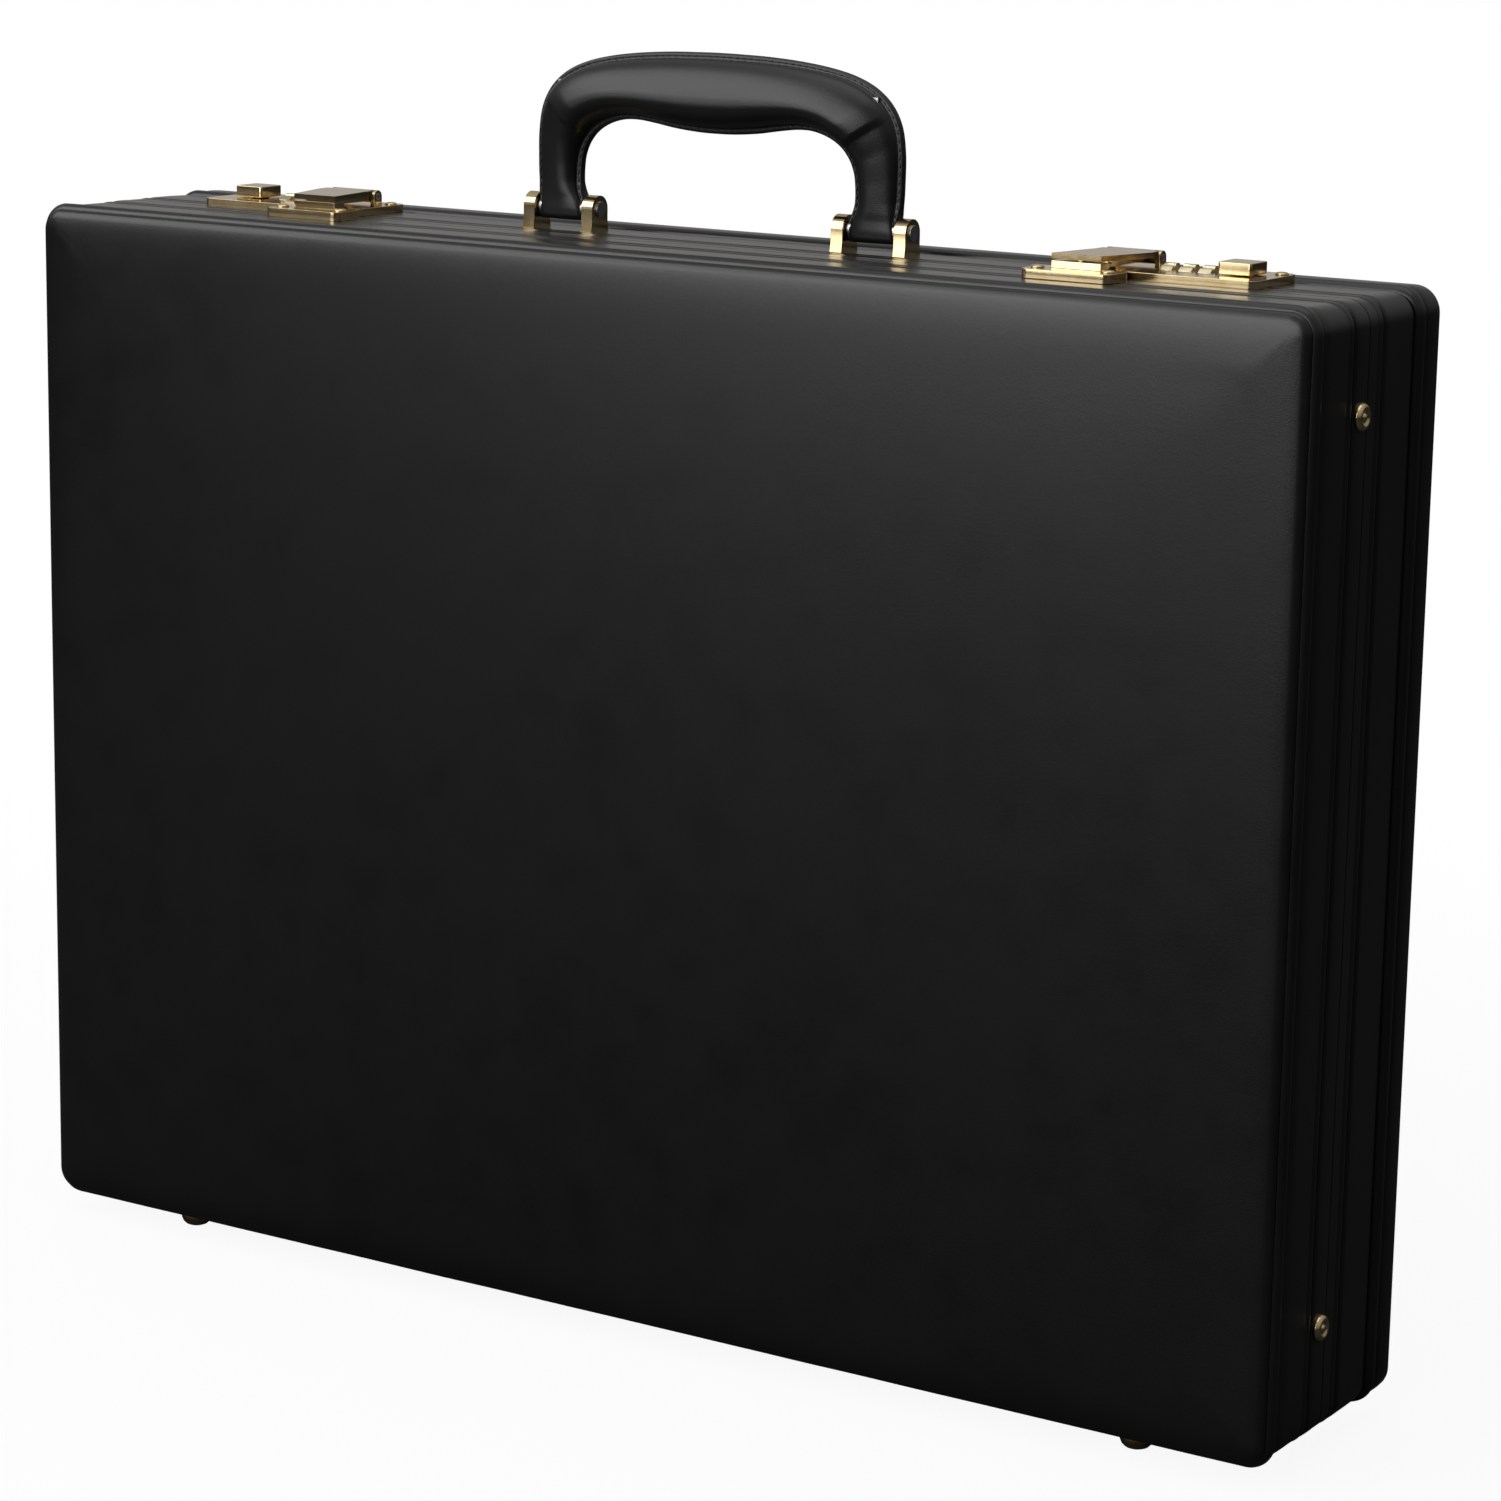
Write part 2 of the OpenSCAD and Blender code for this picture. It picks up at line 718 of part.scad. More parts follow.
// Flat link of length l that leans from the vertical, with a hole at its pivot
module stay_link(x, y, lean, elbow_x) {
    color(steel) translate([0, y, stay_pivot_z]) rotate([lean, 0, 0]) difference() {
        union() {
            block(x, x + stay_t, -stay_w / 2, stay_w / 2, 0, stay_l);
            rod(x, x + stay_t, 0, 0, stay_w / 2);
            rod(x, x + stay_t, 0, stay_l, stay_w / 2);
            rod(elbow_x, elbow_x + 1, 0, stay_l, stay_rivet_r);
        }
        rod(x - 1, x + stay_t + 1, 0, 0, stay_hole_r);
    }
}

module base_stay(s) {
    sided(s) stay_link(base_stay_x, part_y + stay_y, stay_lean, base_stay_x + stay_t);
}

module lid_stay(s) {
    sided(s) stay_link(lid_stay_x, part_y - stay_y, -stay_lean, lid_stay_x - 1);
}

// Wall plate with the rivet that one link turns on
module stay_bracket(y, x, plate_x) {
    head = 0.8;
    plate_half = 4.6;
    block(plate_x - 1, plate_x, y - plate_half, y + plate_half, stay_pivot_z - 9, stay_pivot_z + 9);
    rod(x - 0.2 - head, x - 0.2, y, stay_pivot_z, 3);
    rod(x - 0.2, plate_x, y, stay_pivot_z, stay_rivet_r);
    rod(x + stay_t + 0.2, plate_x, y, stay_pivot_z, 3);
}

module base_stay_brackets() {
    color(steel) both_sides()
        stay_bracket(part_y + stay_y, base_stay_x, case_w / 2 - lining_in - 1.2);
}

module lid_stay_brackets() {
    color(steel) both_sides()
        stay_bracket(part_y - stay_y, lid_stay_x, case_w / 2 - inside_in);
}

base_shell();
base_band();
base_binding();
rear_piping();
rear_pad();
base_lining();
base_valance();
base_hinge_leaves();
hinge_pins();
base_hinge_rivets();
base_feet();
ear_left_outer();
ear_left_inner();
ear_right_inner();
ear_right_outer();
handle_pins();
handle_backing_plates();
lock_plate_left();
lock_plate_right();
lock_case_left();
lock_case_right();
dial_axles();
hasp_pins();
lock_rivets();
slider_springs();
base_stay_brackets();
lid_shell();
front_band();
lid_binding();
front_piping();
front_pad();
lid_lining();
lid_hinge_leaves();
lid_hinge_rivets();
lid_feet();
side_studs();
strike_plate_left();
strike_plate_right();
strike_rivets();
lid_stay_brackets();
handle_grip();
handle_core();
hasp_left();
hasp_right();
slider_left();
slider_right();
mirror([1, 0, 0]) dial(1);  // dial_left_1
mirror([1, 0, 0]) dial(2);  // dial_left_2
mirror([1, 0, 0]) dial(3);  // dial_left_3
dial(1);  // dial_right_1
dial(2);  // dial_right_2
dial(3);  // dial_right_3
base_stay(-1);  // base_stay_left
base_stay(1);  // base_stay_right
lid_stay(-1);  // lid_stay_left
lid_stay(1);  // lid_stay_right
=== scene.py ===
"""Hard leather-covered attache case with two combination locks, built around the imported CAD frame."""
import bpy
import bmesh
import json
import math
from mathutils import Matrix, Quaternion, Vector, noise


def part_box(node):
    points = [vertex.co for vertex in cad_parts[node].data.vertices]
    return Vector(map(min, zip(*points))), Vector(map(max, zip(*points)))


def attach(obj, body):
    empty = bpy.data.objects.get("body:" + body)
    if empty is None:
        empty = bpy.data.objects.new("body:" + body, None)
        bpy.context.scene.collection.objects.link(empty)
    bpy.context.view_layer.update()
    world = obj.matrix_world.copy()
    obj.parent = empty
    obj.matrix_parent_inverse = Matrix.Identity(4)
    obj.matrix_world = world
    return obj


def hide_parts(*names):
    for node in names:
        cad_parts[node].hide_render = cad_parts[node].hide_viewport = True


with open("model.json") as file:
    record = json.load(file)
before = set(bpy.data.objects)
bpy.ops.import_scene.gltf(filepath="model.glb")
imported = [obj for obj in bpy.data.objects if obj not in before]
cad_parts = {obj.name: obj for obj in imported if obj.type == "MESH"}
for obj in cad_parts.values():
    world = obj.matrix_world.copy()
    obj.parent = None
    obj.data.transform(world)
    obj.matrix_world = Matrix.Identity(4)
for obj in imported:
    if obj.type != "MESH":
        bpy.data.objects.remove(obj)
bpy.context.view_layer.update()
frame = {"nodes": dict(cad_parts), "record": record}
nodes = frame["nodes"]
scene = bpy.context.scene
MM = 0.001


# ---------- sizes, in millimetres, from the frame except the corner radius ---

def box_mm(node):
    lo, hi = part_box(node)
    return [v / MM for v in lo], [v / MM for v in hi]


bead_lo, bead_hi = box_mm("front_piping")
HALF_W = bead_hi[0]
LOW_Z, TOP_Z = bead_lo[2], bead_hi[2]
HALF_H = (TOP_Z - LOW_Z) / 2
MID_Z = (TOP_Z + LOW_Z) / 2
PIPE_R = (bead_hi[1] - bead_lo[1]) / 2
PIPE_Y = -(bead_hi[1] + bead_lo[1]) / 2
CORNER = 8.5            # corner radius of the piping
FRONT_T = -box_mm("front_pad")[0][1] - PIPE_Y
REAR_T = box_mm("rear_pad")[1][1] - PIPE_Y
BOARD_IN = TOP_Z - box_mm("base_shell")[1][2]


# ---------- mesh helpers ----------

def spline(points, per=4, closed=False):
    """Catmull-Rom curve through points, each a tuple of numbers."""
    n = len(points)
    out = []
    spans = n if closed else n - 1
    for i in range(spans):
        if closed:
            p0, p1, p2, p3 = (points[(i + k - 1) % n] for k in range(4))
        else:
            p1, p2 = points[i], points[i + 1]
            p0 = points[i - 1] if i else tuple(2 * a - b for a, b in zip(p1, p2))
            p3 = points[i + 2] if i + 2 < n else tuple(2 * b - a for a, b in zip(p1, p2))
        for k in range(per):
            t = k / per
            out.append(tuple(
                0.5 * (2 * b + (c - a) * t + (2 * a - 5 * b + 4 * c - d) * t * t
                       + (3 * b - a - 3 * c + d) * t ** 3)
                for a, b, c, d in zip(p0, p1, p2, p3)))
    if not closed:
        out.append(tuple(points[-1]))
    return out


def make(name, verts, faces, mats, face_mats=None, smooth=True):
    """Object from vertices in millimetres."""
    me = bpy.data.meshes.new(name)
    me.from_pydata([(x * MM, y * MM, z * MM) for x, y, z in verts], [], faces)
    for m in mats:
        me.materials.append(m)
    if face_mats:
        me.polygons.foreach_set("material_index", face_mats)
    me.polygons.foreach_set("use_smooth", [smooth] * len(me.polygons))
    bm = bmesh.new()
    bm.from_mesh(me)
    bmesh.ops.recalc_face_normals(bm, faces=bm.faces)
    bm.to_mesh(me)
    bm.free()
    ob = bpy.data.objects.new(name, me)
    scene.collection.objects.link(ob)
    return ob


def grid_faces(rows, cols, close_rows, close_cols, base=0):
    """Quads of a grid of rows x cols vertices, joined at its ends where asked."""
    faces = []
    for r in range(rows if close_rows else rows - 1):
        for c in range(cols if close_cols else cols - 1):
            a, b = r * cols, ((r + 1) % rows) * cols
            d = (c + 1) % cols
            faces.append((base + a + c, base + a + d, base + b + d, base + b + c))
    return faces


# ---------- materials ----------

def tree(name):
    mat = bpy.data.materials.new(name)
    mat.use_nodes = True
    nt = mat.node_tree
    nt.nodes.clear()
    out = nt.nodes.new("ShaderNodeOutputMaterial")
    bsdf = nt.nodes.new("ShaderNodeBsdfPrincipled")
    nt.links.new(bsdf.outputs[0], out.inputs[0])
    return mat, nt, bsdf


def node(nt, kind, inputs=None, **attrs):
    n = nt.nodes.new(kind)
    for k, v in attrs.items():
        setattr(n, k, v)
    for k, v in (inputs or {}).items():
        if isinstance(v, bpy.types.NodeSocket):
            nt.links.new(v, n.inputs[k])
        else:
            n.inputs[k].default_value = v
    return n


def coords(nt, scale=(1, 1, 1)):
    c = node(nt, "ShaderNodeTexCoord").outputs["Object"]
    if scale != (1, 1, 1):
        c = node(nt, "ShaderNodeMapping", {"Vector": c, "Scale": scale}).outputs[0]
    return c


def ramp(nt, fac, stops):
    r = node(nt, "ShaderNodeValToRGB", {"Fac": fac})
    els = r.color_ramp.elements
    while len(els) < len(stops):
        els.new(0.5)
    for e, (pos, col) in zip(els, stops):
        e.position = pos
        e.color = (*col, 1) if len(col) == 3 else col
    return r.outputs["Color"]


def span(nt, fac, lo, hi):
    return node(nt, "ShaderNodeMapRange", {"Value": fac, "To Min": lo, "To Max": hi}).outputs[0]


def leather(name, dark, light, rough, grain_mm, depth, pores=0.35, coat=0.0):
    """Dyed, finished leather: cells of fine grain with pores, soft tone and gloss variation."""
    mat, nt, bsdf = tree(name)
    c = coords(nt)
    cells = node(nt, "ShaderNodeTexVoronoi",
                 {"Vector": c, "Scale": 1 / (grain_mm * MM), "Randomness": 0.9},
                 feature="DISTANCE_TO_EDGE")
    fine = node(nt, "ShaderNodeTexNoise", {"Vector": c, "Scale": 0.6 / (grain_mm * MM), "Detail": 6.0,
                                           "Roughness": 0.65})
    tone = node(nt, "ShaderNodeTexNoise", {"Vector": c, "Scale": 14.0, "Detail": 5.0, "Roughness": 0.6})
    wide = node(nt, "ShaderNodeTexNoise", {"Vector": c, "Scale": 70.0, "Detail": 3.0})
    edge = node(nt, "ShaderNodeMapRange", {"Value": cells.outputs["Distance"], "From Max": 0.18})
    height = node(nt, "ShaderNodeMath", {0: edge.outputs[0], 1: pores}, operation="MULTIPLY")
    height = node(nt, "ShaderNodeMath", {0: height.outputs[0], 1: fine.outputs[0]}, operation="ADD")
    bump = node(nt, "ShaderNodeBump", {"Height": height.outputs[0], "Distance": depth * MM, "Strength": 0.6})
    nt.links.new(bump.outputs[0], bsdf.inputs["Normal"])
    mix = node(nt, "ShaderNodeMath", {0: tone.outputs[0], 1: wide.outputs[0]}, operation="ADD")
    mix = node(nt, "ShaderNodeMapRange", {"Value": mix.outputs[0], "From Min": 0.7, "From Max": 1.3})
    nt.links.new(ramp(nt, mix.outputs[0], [(0, dark), (1, light)]), bsdf.inputs["Base Color"])
    gloss = node(nt, "ShaderNodeMath", {0: mix.outputs[0], 1: fine.outputs[0]}, operation="ADD")
    nt.links.new(span(nt, gloss.outputs[0], rough - 0.02, rough + 0.025), bsdf.inputs["Roughness"])
    bsdf.inputs["Coat Weight"].default_value = coat
    bsdf.inputs["Coat Roughness"].default_value = 0.22
    return mat


def metal(name, dark, light, rough, scratch=0.000004, spread=0.04):
    """Plated metal: faint brushed streaks, soft stains and small changes of gloss."""
    mat, nt, bsdf = tree(name)
    bsdf.inputs["Metallic"].default_value = 1.0
    c = coords(nt)
    streak = node(nt, "ShaderNodeTexNoise",
                  {"Vector": coords(nt, (160, 2600, 2600)), "Scale": 1.0, "Detail": 3.0})
    stain = node(nt, "ShaderNodeTexNoise", {"Vector": c, "Scale": 130.0, "Detail": 5.0, "Roughness": 0.6})
    grit = node(nt, "ShaderNodeTexNoise", {"Vector": c, "Scale": 2200.0, "Detail": 3.0})
    nt.links.new(ramp(nt, stain.outputs[0], [(0.35, dark), (0.62, light)]), bsdf.inputs["Base Color"])
    both = node(nt, "ShaderNodeMath", {0: stain.outputs[0], 1: streak.outputs[0]}, operation="ADD")
    half = node(nt, "ShaderNodeMath", {0: both.outputs[0], 1: 0.5}, operation="MULTIPLY")
    nt.links.new(span(nt, half.outputs[0], rough - spread, rough + spread), bsdf.inputs["Roughness"])
    h = node(nt, "ShaderNodeMath", {0: streak.outputs[0], 1: grit.outputs[0]}, operation="ADD")
    bump = node(nt, "ShaderNodeBump", {"Height": h.outputs[0], "Distance": scratch, "Strength": 0.35})
    nt.links.new(bump.outputs[0], bsdf.inputs["Normal"])
    return mat


def cloth(name, dark, light, rough, sheen, scale, depth):
    """Napped or woven matt stuff, from noise at two sizes."""
    mat, nt, bsdf = tree(name)
    c = coords(nt)
    nap = node(nt, "ShaderNodeTexNoise", {"Vector": c, "Scale": scale, "Detail": 6.0, "Roughness": 0.7})
    patch = node(nt, "ShaderNodeTexNoise", {"Vector": c, "Scale": scale / 40, "Detail": 4.0})
    both = node(nt, "ShaderNodeMath", {0: nap.outputs[0], 1: patch.outputs[0]}, operation="ADD")
    fac = node(nt, "ShaderNodeMapRange", {"Value": both.outputs[0], "From Min": 0.6, "From Max": 1.4})
    nt.links.new(ramp(nt, fac.outputs[0], [(0, dark), (1, light)]), bsdf.inputs["Base Color"])
    nt.links.new(span(nt, nap.outputs[0], rough - 0.08, min(rough + 0.08, 1)), bsdf.inputs["Roughness"])
    bsdf.inputs["Sheen Weight"].default_value = sheen
    bsdf.inputs["Sheen Roughness"].default_value = 0.45
    bump = node(nt, "ShaderNodeBump", {"Height": nap.outputs[0], "Distance": depth * MM, "Strength": 0.7})
    nt.links.new(bump.outputs[0], bsdf.inputs["Normal"])
    return mat


PANEL = leather("panel_leather", (0.0036, 0.0037, 0.0041), (0.0052, 0.0053, 0.0057), 0.29, 0.75, 0.035)
EDGE = leather("edge_leather", (0.0044, 0.0041, 0.0037), (0.0066, 0.0062, 0.0056), 0.30, 0.60, 0.030,
               coat=0.12)
GRIP = leather("handle_leather", (0.0040, 0.0041, 0.0043), (0.0060, 0.0061, 0.0063), 0.33, 0.70, 0.045)
THREAD = cloth("waxed_thread", (0.006, 0.006, 0.006), (0.022, 0.022, 0.021), 0.5, 0.1, 3000.0, 0.04)
SUEDE = cloth("suede_lining", (0.13, 0.088, 0.055), (0.24, 0.17, 0.11), 0.9, 0.6, 1800.0, 0.12)
BOARD = cloth("case_board", (0.10, 0.075, 0.05), (0.20, 0.155, 0.11), 0.85, 0.0, 900.0, 0.08)
BRASS = metal("brass", (0.64, 0.48, 0.25), (0.76, 0.60, 0.35), 0.15)
DIAL = metal("dial_metal", (0.60, 0.50, 0.30), (0.80, 0.70, 0.48), 0.22)
STEEL = metal("steel", (0.42, 0.42, 0.43), (0.62, 0.62, 0.63), 0.28)
ALU = metal("valance_aluminium", (0.58, 0.58, 0.57), (0.76, 0.76, 0.75), 0.33)


# ---------- leather rims: bands, bindings, piping ----------

def stations(step=6.0, arc=10, marks=()):
    """Points of the case outline with outward normals: (x, z, nx, nz), counterclockwise.
    The top and bottom also get a point at each x of marks."""
    out = []
    corners = [(1, 1), (-1, 1), (-1, -1), (1, -1)]
    arcs = []
    for k, (sx, sz) in enumerate(corners):
        cx, cz = sx * (HALF_W - CORNER), MID_Z + sz * (HALF_H - CORNER)
        arcs.append([(cx + CORNER * math.cos(a), cz + CORNER * math.sin(a), math.cos(a), math.sin(a))
                     for a in (math.radians(90 * k + 90 * i / arc) for i in range(arc + 1))])
    for k in range(4):
        out += arcs[k]
        a, b = arcs[k][-1], arcs[(k + 1) % 4][0]
        n = max(2, round(math.hypot(b[0] - a[0], b[1] - a[1]) / step))
        ts = {i / n for i in range(1, n)}
        if k % 2 == 0:
            cuts = {(x - a[0]) / (b[0] - a[0]) for x in marks}
            ts = {t for t in ts if all(abs(t - c) > 0.3 / n for c in cuts)} | cuts
        out += [(a[0] + (b[0] - a[0]) * t, a[1] + (b[1] - a[1]) * t, a[2], a[3]) for t in sorted(ts)]
    return out


def stitch(verts, faces, centre, along, out, side, length, radius):
    """One sewn stitch: a short thread whose ends dip below the leather."""
    base = len(verts)
    rings = [(-0.5, -0.9, 0.55), (-0.3, 0.15, 0.95), (0.0, 0.45, 1.0), (0.3, 0.15, 0.95), (0.5, -0.9, 0.55)]
    for t, lift, thick in rings:
        for a in range(5):
            w = math.radians(72 * a)
            u, v = math.cos(w) * radius * thick, math.sin(w) * radius * thick
            verts.append(tuple(c + t * length * al + (lift * radius + v) * o + u * s
                               for c, al, o, s in zip(centre, along, out, side)))
    faces += grid_faces(len(rings), 5, False, True, base)
    faces += [tuple(base + i for i in range(5)), tuple(base + 24 - i for i in range(5))]


def rim(name, profile, material, wobble=0.0, gaps=(), gap_z=1, keep=None):
    """Sweeps a closed profile of (y, inset) round the case. Inside each x range of gaps, on the top
    (gap_z 1) or the bottom (-1), only the part of the profile on the kept side of y = keep[0] is swept;
    keep[1] is that side."""
    marks = [x for g in gaps for x in g]
    path = stations(marks=marks)
    n = len(profile)
    verts = []
    for x, z, nx, nz in path:
        for y, d in profile:
            e = d
            if wobble:
                e += wobble * noise.noise(Vector((x, y * 3, z)) * 0.045)
            verts.append((x - e * nx, y, z - e * nz))

    def inside(i):
        x, z, nx, nz = path[i]
        if nz * gap_z < 0.99:
            return None
        for g in gaps:
            if g[0] - 0.01 < x < g[1] + 0.01:
                return g
        return None

    faces = []
    kept = [j for j, (y, d) in enumerate(profile) if not keep or (y - keep[0]) * keep[1] > -1e-6]
    cut = [j for j in range(n) if keep and j not in kept]
    rows = len(path)
    for i in range(rows):
        i2 = (i + 1) % rows
        g = inside(i)
        open_here = g is not None and inside(i2) == g
        for j in range(n):
            j2 = (j + 1) % n
            if open_here and (j in cut or j2 in cut):
                continue
            faces.append((i * n + j, i * n + j2, i2 * n + j2, i2 * n + j))
        if open_here:
            a, b = [j for j in kept if (j + 1) % n in cut or (j - 1) % n in cut]
            faces.append((i * n + a, i * n + b, i2 * n + b, i2 * n + a))
        if g is not None and (abs(path[i][0] - g[0]) < 0.01 or abs(path[i][0] - g[1]) < 0.01):
            a = next(j for j in kept if (j + 1) % n in cut)
            run = [a]
            while run[-1] == a or run[-1] in cut:
                run.append((run[-1] + 1) % n)
            faces.append(tuple(i * n + j for j in run))
    return make(name, verts, faces, [material])


def strip(outer, inner_in, at=None):
    """Closed profile from an outer line of (y, inset), backed at a depth of inner_in, with a point
    at y = at."""
    line = spline(outer, 4)
    back = [(line[-1][0], inner_in), (line[0][0], inner_in)]
    if at is not None:
        back.insert(1, (at, inner_in))
    return line + back


def finish_piece(ob, body, slot, *replaced):
    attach(ob, body)
    if replaced:
        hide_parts(*replaced)
    return ob


fb_lo, fb_hi = box_mm("front_band")
lb_lo, lb_hi = box_mm("lid_binding")
bb_lo, bb_hi = box_mm("base_binding")
rb_lo, rb_hi = box_mm("base_band")

case_lo, case_hi = box_mm("lock_case_right")
LOCK_GAPS = [tuple(sorted((k * (case_lo[0] - 0.1), k * (case_hi[0] + 0.1)))) for k in (1, -1)]
LOCK_KEEP = (case_hi[1] + 0.1, 1)
leaf_hi = box_mm("base_hinge_leaves")[1]
pin_lo, pin_hi = box_mm("hinge_pins")
HINGE_Y = (pin_lo[1] + pin_hi[1]) / 2
HINGE_LEN = 60.3        # length of a hinge and of the gap at one of its ends
END_GAP = 0.3
KNUCKLE_ROOM = 2.7      # from the hinge axis to the leather on either side
HINGE_GAPS = [tuple(sorted((k * (leaf_hi[0] - HINGE_LEN), k * (leaf_hi[0] + END_GAP)))) for k in (1, -1)]
BACK_IN = BOARD_IN - 0.02

front_band = rim("front_band_leather", strip([
    (fb_lo[1], 2.7), (fb_lo[1] + 0.6, 2.0), (fb_lo[1] + 1.6, 1.45), (fb_lo[1] + 3.4, 1.08),
    (fb_lo[1] + 6, 0.95), (-16.0, 1.04), (-14.2, 1.08), (-13.6, 1.24), (-13.0, 1.12), (-12.2, 0.92),
    (-11.3, 0.88), (fb_hi[1] - 0.35, 1.20), (fb_hi[1], 2.0)], BACK_IN), EDGE, 0.05)
finish_piece(front_band, "lid", "edge_leather", "front_band")

lid_keep = HINGE_Y - KNUCKLE_ROOM
lid_binding = rim("lid_binding_leather", strip([
    (lb_lo[1], 2.0), (lb_lo[1] + 0.3, 1.25), (lb_lo[1] + 1.0, 0.95), (-6.6, 0.84), (lid_keep, 0.86),
    (lb_hi[1] - 0.25, 0.96), (lb_hi[1], 1.15)], BACK_IN, lid_keep), EDGE, 0.04,
    gaps=HINGE_GAPS, gap_z=-1, keep=(lid_keep, -1))
finish_piece(lid_binding, "lid", "edge_leather", "lid_binding")

base_keep = HINGE_Y + KNUCKLE_ROOM
base_binding = rim("base_binding_leather", strip([
    (bb_lo[1], 1.15), (bb_lo[1] + 0.25, 0.96), (base_keep, 1.00), (4.0, 1.06), (4.6, 1.22), (5.2, 1.10),
    (6.0, 0.92), (6.9, 0.88), (bb_hi[1] - 0.35, 1.20), (bb_hi[1], 2.0)], BACK_IN, base_keep), EDGE, 0.04,
    HINGE_GAPS, -1, (base_keep, 1))
finish_piece(base_binding, "base", "edge_leather", "base_binding")

base_band = rim("base_band_leather", strip([
    (rb_lo[1], 2.0), (rb_lo[1] + 0.35, 1.25), (rb_lo[1] + 1.2, 0.92), (12.5, 0.90), (19, 1.0),
    (LOCK_KEEP[0], 1.22), (27.8, 1.45), (rb_hi[1] - 0.6, 2.0), (rb_hi[1], 2.7)], BACK_IN, LOCK_KEEP[0]),
    EDGE, 0.05, gaps=LOCK_GAPS, keep=LOCK_KEEP)
finish_piece(base_band, "base", "edge_leather", "base_band")


def piping(name, y, body, replaced):
    """Round leather bead along the case outline, centred at one depth."""
    profile = [(y + PIPE_R * math.cos(a), PIPE_R - PIPE_R * math.sin(a))
               for a in (math.radians(360 * i / 20) for i in range(20))]
    ob = rim(name, profile, EDGE, 0.08)
    return finish_piece(ob, body, "edge_leather", replaced)


piping("front_piping_leather", -PIPE_Y, "lid", "front_piping")
piping("rear_piping_leather", PIPE_Y, "base", "rear_piping")


# ---------- padded panels ----------

# Each panel's section: inset where it is widest and depth there, width and height of its rolled edge,
# and how far its face swells beyond that
FRONT_PAD = {"widest": 1.75, "low": 2.4, "roll": 2.1, "rise": 1.9}
REAR_PAD = {"widest": 0.7, "low": 11.0, "roll": 1.3, "rise": 1.3}
PAD_SWELL = 0.3         # most that the simulation may move the face
SIM_FRAMES = 12
for shape, depth in ((FRONT_PAD, FRONT_T), (REAR_PAD, REAR_T)):
    shape["crown"] = depth - shape["low"] - shape["rise"] - PAD_SWELL


def pad_depth(shape, d):
    """Depth of a panel's surface outside the piping, at a distance d inside the case outline."""
    t = min((d - shape["widest"]) / shape["roll"], 1.0)
    roll = math.sqrt(max(0.0, 1 - (1 - t) ** 2))
    past = max(0.0, d - shape["widest"] - shape["roll"] * 0.6)
    swell_near, swell_far = 1 - math.exp(-past / 3.5), 1 - math.exp(-past / 30)
    return shape["low"] + shape["rise"] * roll + shape["crown"] * (0.4 * swell_near + 0.6 * swell_far)


